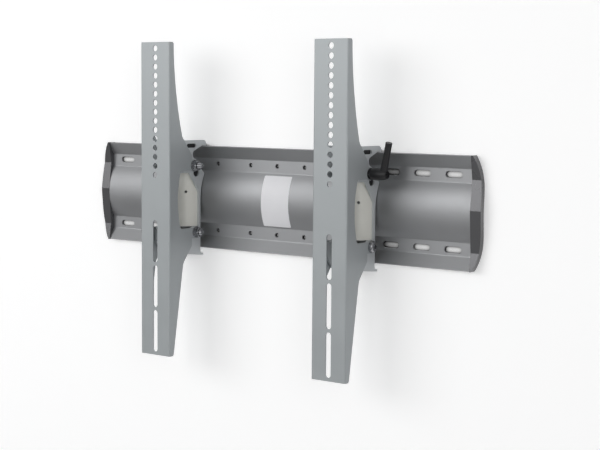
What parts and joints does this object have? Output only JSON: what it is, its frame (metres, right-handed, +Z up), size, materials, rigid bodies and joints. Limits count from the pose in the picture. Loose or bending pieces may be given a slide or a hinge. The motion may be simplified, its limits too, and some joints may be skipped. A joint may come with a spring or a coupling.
{
  "type": "tilting tv wall bracket",
  "caption": "Wide wall plate with end caps and two tall slotted brackets that hook on, slide along it and tilt, each with a clamping lever.",
  "frame": {"origin": "centre of the wall plate, on the wall plane", "axes": "+X along the plate to the right seen from the room, +Y into the wall, +Z up"},
  "size_m": [0.663, 0.084, 0.4445],
  "materials": {
    "powder_coat": "silver grey powder coat, satin",
    "nose_coat": "warm grey coat, satin",
    "cap_plastic": "dark grey moulded plastic",
    "zinc": "zinc plated",
    "plain_steel": "bright drawn steel",
    "black_steel": "black oxide",
    "nylon": "natural nylon",
    "lever_plastic": "black glass filled nylon"
  },
  "bodies": {
    "wall": {"wall_plate": "powder_coat", "end_cap_left": "cap_plastic", "end_cap_right": "cap_plastic"},
    "left_slider": {"left_hook_plate_outer": "powder_coat", "left_hook_plate_inner": "powder_coat", "left_nose_shell": "nose_coat", "left_pivot_sleeve": "plain_steel"},
    "left_tilt_arm": {"left_channel": "powder_coat", "left_pivot_bolt": "zinc", "left_pivot_nut": "zinc", "left_pivot_washer_outer": "zinc", "left_pivot_washer_inner": "zinc", "left_friction_washers": "nylon", "left_tilt_nut": "zinc", "left_tilt_washer": "zinc", "left_lever_washer": "black_steel"},
    "left_clamp": {"left_tilt_stud": "zinc", "left_lever_screw": "black_steel", "left_lever_spring": "plain_steel"},
    "left_handle": {"left_lever_handle": "lever_plastic"},
    "right_slider": {"right_hook_plate_outer": "powder_coat", "right_hook_plate_inner": "powder_coat", "right_nose_shell": "nose_coat", "right_pivot_sleeve": "plain_steel"},
    "right_tilt_arm": {"right_channel": "powder_coat", "right_pivot_bolt": "zinc", "right_pivot_nut": "zinc", "right_pivot_washer_outer": "zinc", "right_pivot_washer_inner": "zinc", "right_friction_washers": "nylon", "right_tilt_nut": "zinc", "right_tilt_washer": "zinc", "right_lever_washer": "black_steel"},
    "right_clamp": {"right_tilt_stud": "zinc", "right_lever_screw": "black_steel", "right_lever_spring": "plain_steel"},
    "right_handle": {"right_lever_handle": "lever_plastic"}
  },
  "joints": [
    {"name": "left_slide", "type": "slide", "parent": "wall", "child": "left_slider", "axis": [1, 0, 0], "range_m": [-0.1275, 0.1105]},
    {"name": "left_tilt", "type": "hinge", "parent": "left_slider", "child": "left_tilt_arm", "pos_m": [-0.1555, -0.027, -0.05], "axis": [1, 0, 0], "range_deg": [0, 15]},
    {"name": "left_lever_turn", "type": "hinge", "parent": "left_tilt_arm", "child": "left_clamp", "pos_m": [-0.1555, -0.0308, 0.04593], "axis": [1, 0, 0], "range_deg": [0, 165]},
    {"name": "left_lever_lift", "type": "slide", "parent": "left_clamp", "child": "left_handle", "axis": [-1, 0, 0], "range_m": [0, 0.0045], "stiffness_N_per_m": 400, "springref_m": -0.004, "deforming": ["left_lever_spring"]},
    {"name": "right_slide", "type": "slide", "parent": "wall", "child": "right_slider", "axis": [1, 0, 0], "range_m": [-0.104, 0.134]},
    {"name": "right_tilt", "type": "hinge", "parent": "right_slider", "child": "right_tilt_arm", "pos_m": [0.149, -0.027, -0.05], "axis": [1, 0, 0], "range_deg": [0, 15]},
    {"name": "right_lever_turn", "type": "hinge", "parent": "right_tilt_arm", "child": "right_clamp", "pos_m": [0.149, -0.0308, 0.04593], "axis": [1, 0, 0], "range_deg": [0, 165]},
    {"name": "right_lever_lift", "type": "slide", "parent": "right_clamp", "child": "right_handle", "axis": [1, 0, 0], "range_m": [0, 0.0045], "stiffness_N_per_m": 400, "springref_m": -0.004, "deforming": ["right_lever_spring"]}
  ]
}
